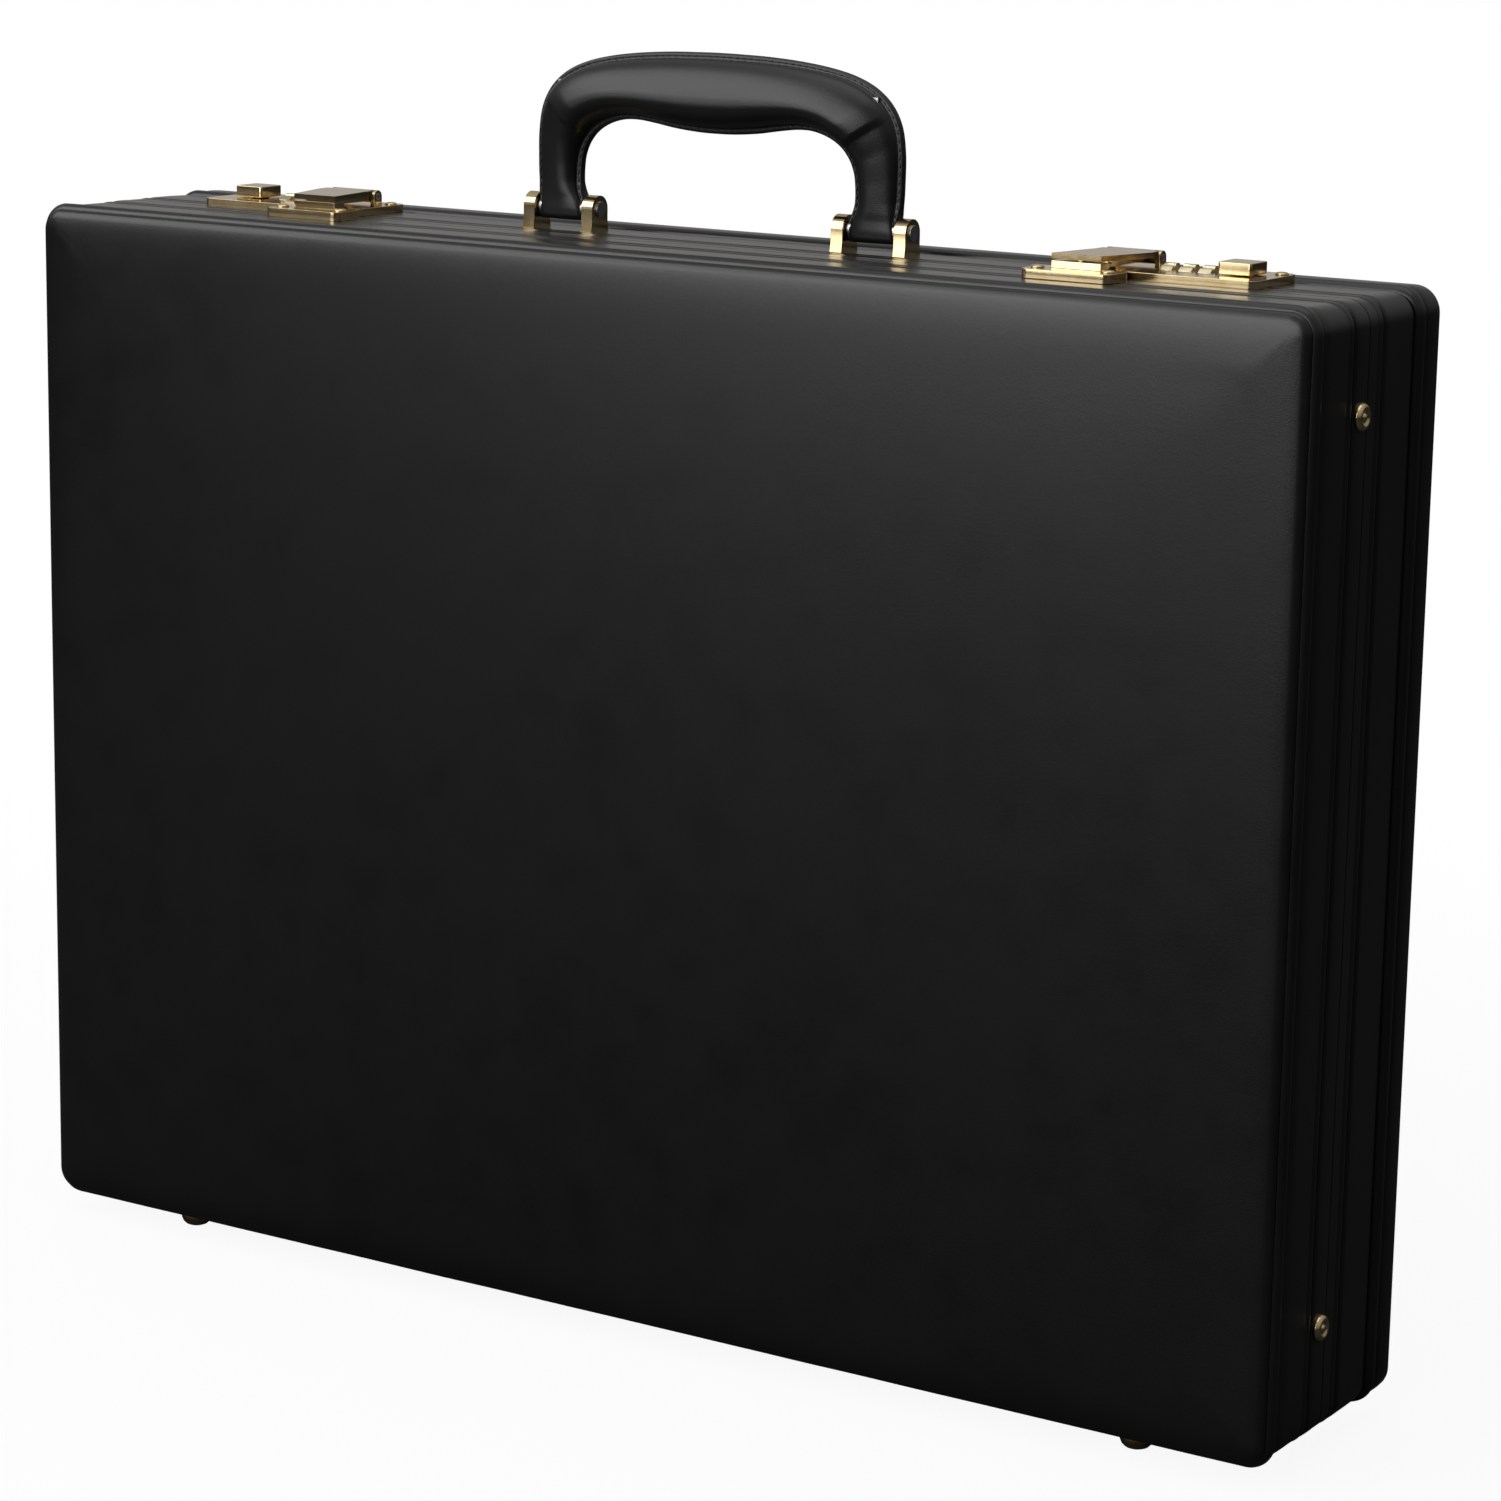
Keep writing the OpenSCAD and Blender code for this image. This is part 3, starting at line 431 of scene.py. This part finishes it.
def pad(name, shape, side, body, replaced):
    """Foam-backed leather panel: a rolled edge tucked in behind the piping, and a swelling face."""
    k, s, inner = 6, 3.0, 18.0
    nx, nz = 60, 44
    widest, low, roll = shape["widest"], shape["low"], shape["roll"]
    tuck = [(5.4, 0.25), (5.15, 1.3), (4.4, 2.15), (3.4, 2.55), (2.3, 2.55), (1.85, 2.48)]
    if low > 4:
        tuck += [(widest + 0.3, 2.9), (widest - 0.05, low * 0.4), (widest - 0.2, low * 0.6),
                 (widest - 0.15, low * 0.8)]
    face = [widest + roll * (1 - math.cos(math.radians(a))) for a in (0, 12, 24, 36, 48, 60, 72, 83)]
    face += [d for d in (3.4, 4.4, 5.6, 6.9, 8.2, 9.6, 11.2, 13.0, 15.0, inner) if d > face[-1] + 0.4]
    levels = tuck + [(d, pad_depth(shape, d)) for d in face]

    def ring(d):
        r = max(CORNER - d, 3.0)
        blend = min(max((d - 7.0) / (inner - 7.0), 0.0), 1.0)
        hw, hh = HALF_W - d, HALF_H - d
        pts = []
        for q, (sx, sz) in enumerate([(1, 1), (-1, 1), (-1, -1), (1, -1)]):
            for i in range(2 * k + 1):
                a = math.radians(90 * q + 90 * i / (2 * k))
                arc = (sx * (hw - r) + r * math.cos(a), sz * (hh - r) + r * math.sin(a))
                up, along = max(0, k - i) * s, max(0, i - k) * s
                if q % 2 == 0:
                    sq = (sx * (hw - along), sz * (hh - up))
                else:
                    sq = (sx * (hw - up), sz * (hh - along))
                pts.append(tuple(u + (v - u) * blend for u, v in zip(arc, sq)))
            n = nx if q % 2 == 0 else nz
            pts.append(n)
        out = []
        for q in range(4):
            block = pts[q * (2 * k + 2):(q + 1) * (2 * k + 2)]
            n = block[-1]
            out += block[:-1]
            a, b = block[-2], pts[((q + 1) % 4) * (2 * k + 2)]
            out += [(a[0] + (b[0] - a[0]) * i / n, a[1] + (b[1] - a[1]) * i / n) for i in range(1, n)]
        return out

    verts = []
    for d, depth in levels:
        verts += [(x, side * (PIPE_Y + depth), MID_Z + z) for x, z in ring(d)]
    cols = len(ring(1.0))
    faces = grid_faces(len(levels), cols, False, True)
    last = (len(levels) - 1) * cols
    # Lattice inside the last ring: its columns and rows follow the ring's own points
    w, h = nx + 2 * k, nz + 2 * k
    start = k                               # ring index of the top right corner
    index = {}
    for i in range(w + 1):
        index[(i, h)] = last + (start + (w - i)) % cols
        index[(i, 0)] = last + (start + w + h + i) % cols
    for j in range(h + 1):
        index[(0, j)] = last + (start + w + (h - j)) % cols
        index[(w, j)] = last + (start + w + h + w + j) % cols
    for i in range(1, w):
        for j in range(1, h):
            x, z = verts[index[(i, h)]][0], verts[index[(0, j)]][2]
            near = [HALF_W - abs(x), HALF_H - abs(z - MID_Z)]
            d = (near[0] ** -3 + near[1] ** -3) ** (-1 / 3)
            index[(i, j)] = len(verts)
            verts.append((x, side * (PIPE_Y + pad_depth(shape, max(d, inner * 0.8))), z))
    for i in range(w):
        for j in range(h):
            faces.append((index[(i, j)], index[(i + 1, j)], index[(i + 1, j + 1)], index[(i, j + 1)]))
    faces.append(tuple(range(cols)))
    ob = make(name, verts, faces, [PANEL])
    fixed = cols * (len(tuck) + 6)
    swell(ob, fixed, side)
    finish_piece(ob, body, "panel_leather", replaced)
    return ob


def swell(ob, fixed, side):
    """Blows the cover out by cloth pressure with its edge held, and keeps at most PAD_SWELL of it."""
    rest = [v.co.copy() for v in ob.data.vertices]
    group = ob.vertex_groups.new(name="held")
    group.add(list(range(fixed)), 1.0, "REPLACE")
    m = ob.modifiers.new("cloth", "CLOTH")
    st = m.settings
    st.quality = 4
    st.mass = 0.3
    st.tension_stiffness = st.compression_stiffness = 40
    st.shear_stiffness = 20
    st.bending_stiffness = 5
    st.use_pressure = True
    st.uniform_pressure_force = 4.0
    st.vertex_group_mass = "held"
    st.effector_weights.gravity = 0
    m.point_cache.frame_start, m.point_cache.frame_end = 1, SIM_FRAMES
    for f in range(1, SIM_FRAMES + 1):
        scene.frame_set(f)
    dg = bpy.context.evaluated_depsgraph_get()
    moved = [v.co.copy() for v in ob.evaluated_get(dg).data.vertices]
    scene.frame_set(1)
    ob.modifiers.remove(m)
    push = [max(0.0, side * (b.y - a.y)) for a, b in zip(rest, moved)]
    top = max(push) or 1.0
    for v, a, p in zip(ob.data.vertices, rest, push):
        v.co = a + Vector((0, side * PAD_SWELL * MM * p / top, 0))
    ob.data.update()
    ob.vertex_groups.clear()


pad("front_pad_leather", FRONT_PAD, -1, "lid", "front_pad")
pad("rear_pad_leather", REAR_PAD, 1, "base", "rear_pad")


# ---------- handle ----------

EYE_LO, EYE_HI = box_mm("handle_pins")
EYE_Y = (EYE_LO[1] + EYE_HI[1]) / 2

# Half of the grip's front outline, in x and height above the piping: points of the outer line, each with
# the point of the inner line across from it
GRIP_LINES = [
    ((64.2, 2.2), (47.6, 2.2)), ((64.2, 5.0), (47.5, 5.0)), ((64.3, 8.2), (47.6, 8.2)),
    ((64.9, 11.2), (48.6, 11.2)), ((65.4, 15.0), (49.0, 14.5)), ((65.6, 21.0), (48.9, 18.6)),
    ((65.5, 29.0), (48.3, 22.4)), ((64.2, 36.6), (46.6, 26.2)), ((60.9, 42.6), (43.6, 29.6)),
    ((55.6, 47.2), (39.3, 32.1)), ((48.6, 50.4), (34.0, 33.6)), ((40.0, 52.5), (28.6, 33.8)),
    ((29.5, 53.95), (22.4, 33.1)), ((18.0, 54.8), (14.6, 31.9)), ((8.0, 55.1), (6.6, 31.2)),
    ((0, 55.2), (0, 31.05))]
# Half of the grip's depth at each height above the piping
GRIP_DEPTH = [(2.2, 2.4), (3.4, 3.7), (5.8, 4.2), (9.0, 4.3), (11, 4.6), (20, 5.2), (28, 6.2), (33, 7.6),
              (38, 9.4), (42, 10.5), (60, 11.0)]


def lookup(table, v):
    for (a, x), (b, y) in zip(table, table[1:]):
        if v <= b:
            t = max(0.0, (v - a) / (b - a))
            return x + (y - x) * t
    return table[-1][1]


# Places across the grip's section, from its outer seam to its inner seam
GRIP_STEPS = [0.985, 0.95, 0.88, 0.78, 0.62, 0.42, 0.20, -0.02, -0.22, -0.42, -0.60, -0.76, -0.88, -0.96,
              -0.99]
FULLEST = 0.62


def fullness(s):
    """Depth across the section, from 0 to 1: a leaning face, then a round underside."""
    if s < FULLEST:
        return (s / FULLEST) ** 0.32
    return math.sqrt(max(0.0, 1 - ((s - FULLEST) / (1 - FULLEST)) ** 2))


def grip():
    """Leather grip sewn along its outer and inner edge."""
    right = [(*o, *i) for o, i in GRIP_LINES]
    left = [(-o[0], o[1], -i[0], i[1]) for o, i in reversed(GRIP_LINES[:-1])]
    line = spline(right + left, 6)
    flange, flange_t = 2.0, 1.25
    verts, seam = [], []
    cols = 0
    for ox, oz, ix, iz in line:
        mx, mz = (ox + ix) / 2, (oz + iz) / 2
        ux, uz = ox - ix, oz - iz
        a = math.hypot(ux, uz) / 2
        ux, uz = ux / (2 * a), uz / (2 * a)
        deep = lookup(GRIP_DEPTH, (mz + oz) / 2 if oz > 40 else mz)
        free = min(max((mz - 5) / 9, 0.0), 1.0)
        edge = 0.8 + (flange - 0.8) * free
        body = a - edge
        t_fl = deep * 0.62 * (1 - free) + min(flange_t, deep * 0.55) * free
        half = [(a, 0), (a - 0.12, t_fl * 0.62), (a - 0.25 * edge, t_fl * 0.98), (a - 0.6 * edge, t_fl),
                (a - edge - 0.05, t_fl * 0.90)]
        for c in GRIP_STEPS:
            half.append((body * c, t_fl * 0.90 + (deep - t_fl * 0.90) * fullness((1 - c) / 2)))
        half += [(-u, v) for u, v in reversed(half[:5])]
        loop = half + [(u, -v) for u, v in reversed(half[1:-1])]
        cols = len(loop)
        for u, v in loop:
            verts.append((mx + u * ux, EYE_Y - v, TOP_Z + mz + u * uz))
        seam.append(((mx, mz), (ux, uz), a, t_fl))
    rows = len(line)
    faces = grid_faces(rows, cols, False, True)
    faces += [tuple(range(cols)), tuple((rows - 1) * cols + i for i in range(cols))]
    fm = [0] * len(faces)
    # Stitches: two rows on the front and two on the back
    for edge in (1, -1):
        pts = [(m[0] + edge * (a - 1.05) * u[0], m[1] + edge * (a - 1.05) * u[1], t) for m, u, a, t in seam]
        run, want, pitch = 0.0, 1.2, 2.45
        for p, q in zip(pts, pts[1:]):
            d = math.dist(p[:2], q[:2])
            while want < run + d:
                t = (want - run) / d
                x, z, th = (i + (j - i) * t for i, j in zip(p, q))
                want += pitch
                if z < 4.5:
                    continue
                al = ((q[0] - p[0]) / d, 0, (q[1] - p[1]) / d)
                sd = (-al[2], 0, al[0])
                for face in (1, -1):
                    n = len(faces)
                    stitch(verts, faces, (x, EYE_Y - face * th, TOP_Z + z), al, (0, -face, 0), sd, 1.95, 0.26)
                    fm += [1] * (len(faces) - n)
            run += d
    return make("grip_leather", verts, faces, [GRIP, THREAD], fm)


grip_piece = grip()
finish_piece(grip_piece, "handle", "handle_leather", "handle_grip")


# ---------- linings ----------

LINING_T = 0.8


def lining(name, side, node_name, mouth_y, **gap):
    """Suede tray: walls that end in a rolled mouth, and a panel that meets them in a soft fold."""
    lo, hi = box_mm(node_name)
    wall = TOP_Z - hi[2]
    floor_y = hi[1] if side > 0 else lo[1]
    t = LINING_T
    y1 = floor_y - side * t
    prof = [(floor_y, wall), (mouth_y + 0.3 * side, wall), (mouth_y, wall + 0.4),
            (mouth_y + 0.3 * side, wall + t), (y1 - side * 0.8, wall + t),
            (y1 - side * 0.5, wall + t + 0.3), (y1 - side * 0.15, wall + t + 0.9),
            (y1, wall + t + 2.0), (y1, wall + t + 5.0), (floor_y, wall + t + 5.0)]
    if gap:
        keep = gap["keep"][0]
        prof.insert(4, (keep, wall + t))
        prof.insert(1, (keep, wall))
    ob = rim(name, prof, SUEDE, 0.0, **gap)
    # The panel: the fold's inner loop, filled in front and behind
    rows, n = len(ob.data.vertices) // len(prof), len(prof)
    bm = bmesh.new()
    bm.from_mesh(ob.data)
    bm.verts.ensure_lookup_table()
    for k in (n - 2, n - 1):
        bm.faces.new([bm.verts[r * n + k] for r in range(rows)]).smooth = True
    closing = [f for f in bm.faces if len(f.verts) == 4 and {v.index % n for v in f.verts} == {n - 2, n - 1}]
    bmesh.ops.delete(bm, geom=closing, context="FACES_ONLY")
    bmesh.ops.recalc_face_normals(bm, faces=bm.faces)
    bm.to_mesh(ob.data)
    bm.free()
    return ob


base_lining = lining("base_lining_suede", 1, "base_lining", box_mm("base_lining")[0][1],
                     gaps=LOCK_GAPS, keep=LOCK_KEEP)
finish_piece(base_lining, "base", "suede_lining", "base_lining")
lid_lining = lining("lid_lining_suede", -1, "lid_lining", box_mm("lid_lining")[1][1])
finish_piece(lid_lining, "lid", "suede_lining", "lid_lining")


# ---------- metal parts kept from the CAD ----------

def dress(name, material, bevel=0.2, segments=2, angle=32):
    """Gives a CAD part its material and soft edges. Its mesh stays as it is."""
    ob = nodes[name]
    ob.data.materials.clear()
    ob.data.materials.append(material)
    ob.data.polygons.foreach_set("use_smooth", [True] * len(ob.data.polygons))
    w = ob.modifiers.new("weld", "WELD")
    w.merge_threshold = 0.000005
    d = ob.modifiers.new("flat", "DECIMATE")
    d.decimate_type = "DISSOLVE"
    d.angle_limit = math.radians(1.0)
    if bevel:
        b = ob.modifiers.new("edge", "BEVEL")
        b.width = bevel * MM
        b.segments = segments
        b.limit_method = "ANGLE"
        b.angle_limit = math.radians(angle)
        b.harden_normals = False
        b.use_clamp_overlap = True
    n = ob.modifiers.new("normals", "WEIGHTED_NORMAL")
    n.keep_sharp = False


SLOT_MATERIAL = {"panel_leather": PANEL, "edge_leather": EDGE, "handle_leather": GRIP, "case_board": BOARD,
                 "suede_lining": SUEDE, "brass": BRASS, "dial_metal": DIAL, "steel": STEEL,
                 "valance_aluminium": ALU}
slot_of = {s["node"]: s["material_slot"] for s in frame["record"]["subparts"]}
REPLACED = {"front_band", "lid_binding", "base_binding", "base_band", "front_piping", "rear_piping",
            "front_pad", "rear_pad", "handle_grip", "base_lining", "lid_lining"}
for name in nodes:
    if name not in REPLACED:
        small = any(w in name for w in ("rivet", "pin", "axle", "spring", "dial"))
        dress(name, SLOT_MATERIAL[slot_of[name]], 0.12 if small else 0.25)


# ---------- floor, light and camera ----------

def area(name, at, aim, size, power, colour=(1, 1, 1)):
    light = bpy.data.lights.new(name, "AREA")
    light.shape = "RECTANGLE"
    light.size, light.size_y = size
    light.energy = power
    light.color = colour
    ob = bpy.data.objects.new(name, light)
    scene.collection.objects.link(ob)
    ob.location = at
    ob.rotation_mode = "QUATERNION"
    ob.rotation_quaternion = (Vector(aim) - Vector(at)).to_track_quat("-Z", "Y")
    ob.visible_camera = False
    return ob


world = bpy.data.worlds.new("studio")
scene.world = world
world.use_nodes = True
wt = world.node_tree
wt.nodes.clear()
w_out = wt.nodes.new("ShaderNodeOutputWorld")
w_path = wt.nodes.new("ShaderNodeLightPath")
w_mix = wt.nodes.new("ShaderNodeMixShader")
w_pale = node(wt, "ShaderNodeBackground", {"Color": (1, 1, 1, 1), "Strength": 1.0})
w_coord = wt.nodes.new("ShaderNodeTexCoord")
w_split = node(wt, "ShaderNodeSeparateXYZ", {0: w_coord.outputs["Generated"]})
w_sky = ramp(wt, node(wt, "ShaderNodeMapRange", {"Value": w_split.outputs["Z"], "From Min": -1.0}).outputs[0],
             [(0.0, (0.02, 0.02, 0.02)), (0.5, (0.05, 0.05, 0.05)), (0.62, (0.20, 0.20, 0.20)),
              (1.0, (0.5, 0.5, 0.5))])
w_room = node(wt, "ShaderNodeBackground", {"Color": w_sky, "Strength": 1.0})
wt.links.new(w_path.outputs["Is Camera Ray"], w_mix.inputs[0])
wt.links.new(w_room.outputs[0], w_mix.inputs[1])
wt.links.new(w_pale.outputs[0], w_mix.inputs[2])
wt.links.new(w_mix.outputs[0], w_out.inputs[0])

floor_mat = bpy.data.materials.new("pale_floor")
floor_mat.use_nodes = True
ft = floor_mat.node_tree
ft.nodes.clear()
f_out = ft.nodes.new("ShaderNodeOutputMaterial")
f_pale = node(ft, "ShaderNodeBsdfDiffuse", {"Color": (0.93, 0.93, 0.92, 1)})
f_clear = node(ft, "ShaderNodeBsdfTransparent", {"Color": (1, 1, 1, 1)})
f_dark = node(ft, "ShaderNodeBsdfDiffuse", {"Color": (0.05, 0.05, 0.05, 1)})
f_away = node(ft, "ShaderNodeVectorMath", {0: coords(ft)}, operation="LENGTH")
f_fade = node(ft, "ShaderNodeMapRange", {"Value": f_away.outputs["Value"], "From Min": 0.25, "From Max": 0.9,
                                         "To Min": 0.08, "To Max": 0.0}, interpolation_type="SMOOTHSTEP")
f_seen = node(ft, "ShaderNodeMixShader", {0: f_fade.outputs[0], 1: f_clear.outputs[0], 2: f_pale.outputs[0]})
f_path = ft.nodes.new("ShaderNodeLightPath")
f_all = node(ft, "ShaderNodeMixShader", {0: f_path.outputs["Is Camera Ray"], 1: f_dark.outputs[0],
                                         2: f_seen.outputs[0]})
ft.links.new(f_all.outputs[0], f_out.inputs[0])
floor = make("floor", [(-6000, -6000, -0.2), (6000, -6000, -0.2), (6000, 6000, -0.2), (-6000, 6000, -0.2)],
             [(0, 1, 2, 3)], [floor_mat], smooth=False)

area("front_softbox", (-0.33, -1.60, 0.78), (-0.30, 0.0, 0.48), (1.40, 1.15), 15.5)
area("back_panel", (-1.3, 1.8, 0.70), (0.0, 0.0, 0.30), (2.4, 1.0), 2.4, (1.0, 0.97, 0.93))
area("high_left", (-1.35, -1.15, 1.50), (0.0, 0.0, 0.33), (1.5, 1.1), 15)
area("top_panel", (0.0, -0.1, 2.0), (0.0, 0.0, 0.30), (1.6, 1.6), 6)

cam = bpy.data.cameras.new("camera")
cam.sensor_width = 36.0
cam.lens = 106.4926
cam.clip_start, cam.clip_end = 0.05, 30
camera = bpy.data.objects.new("camera", cam)
scene.collection.objects.link(camera)
camera.location = (0.736496, -1.107182, 0.465650)
camera.rotation_mode = "QUATERNION"
camera.rotation_quaternion = Quaternion((0.7444583, 0.6044620, 0.1719999, 0.2254410))
scene.camera = camera
scene.view_settings.view_transform = "Standard"
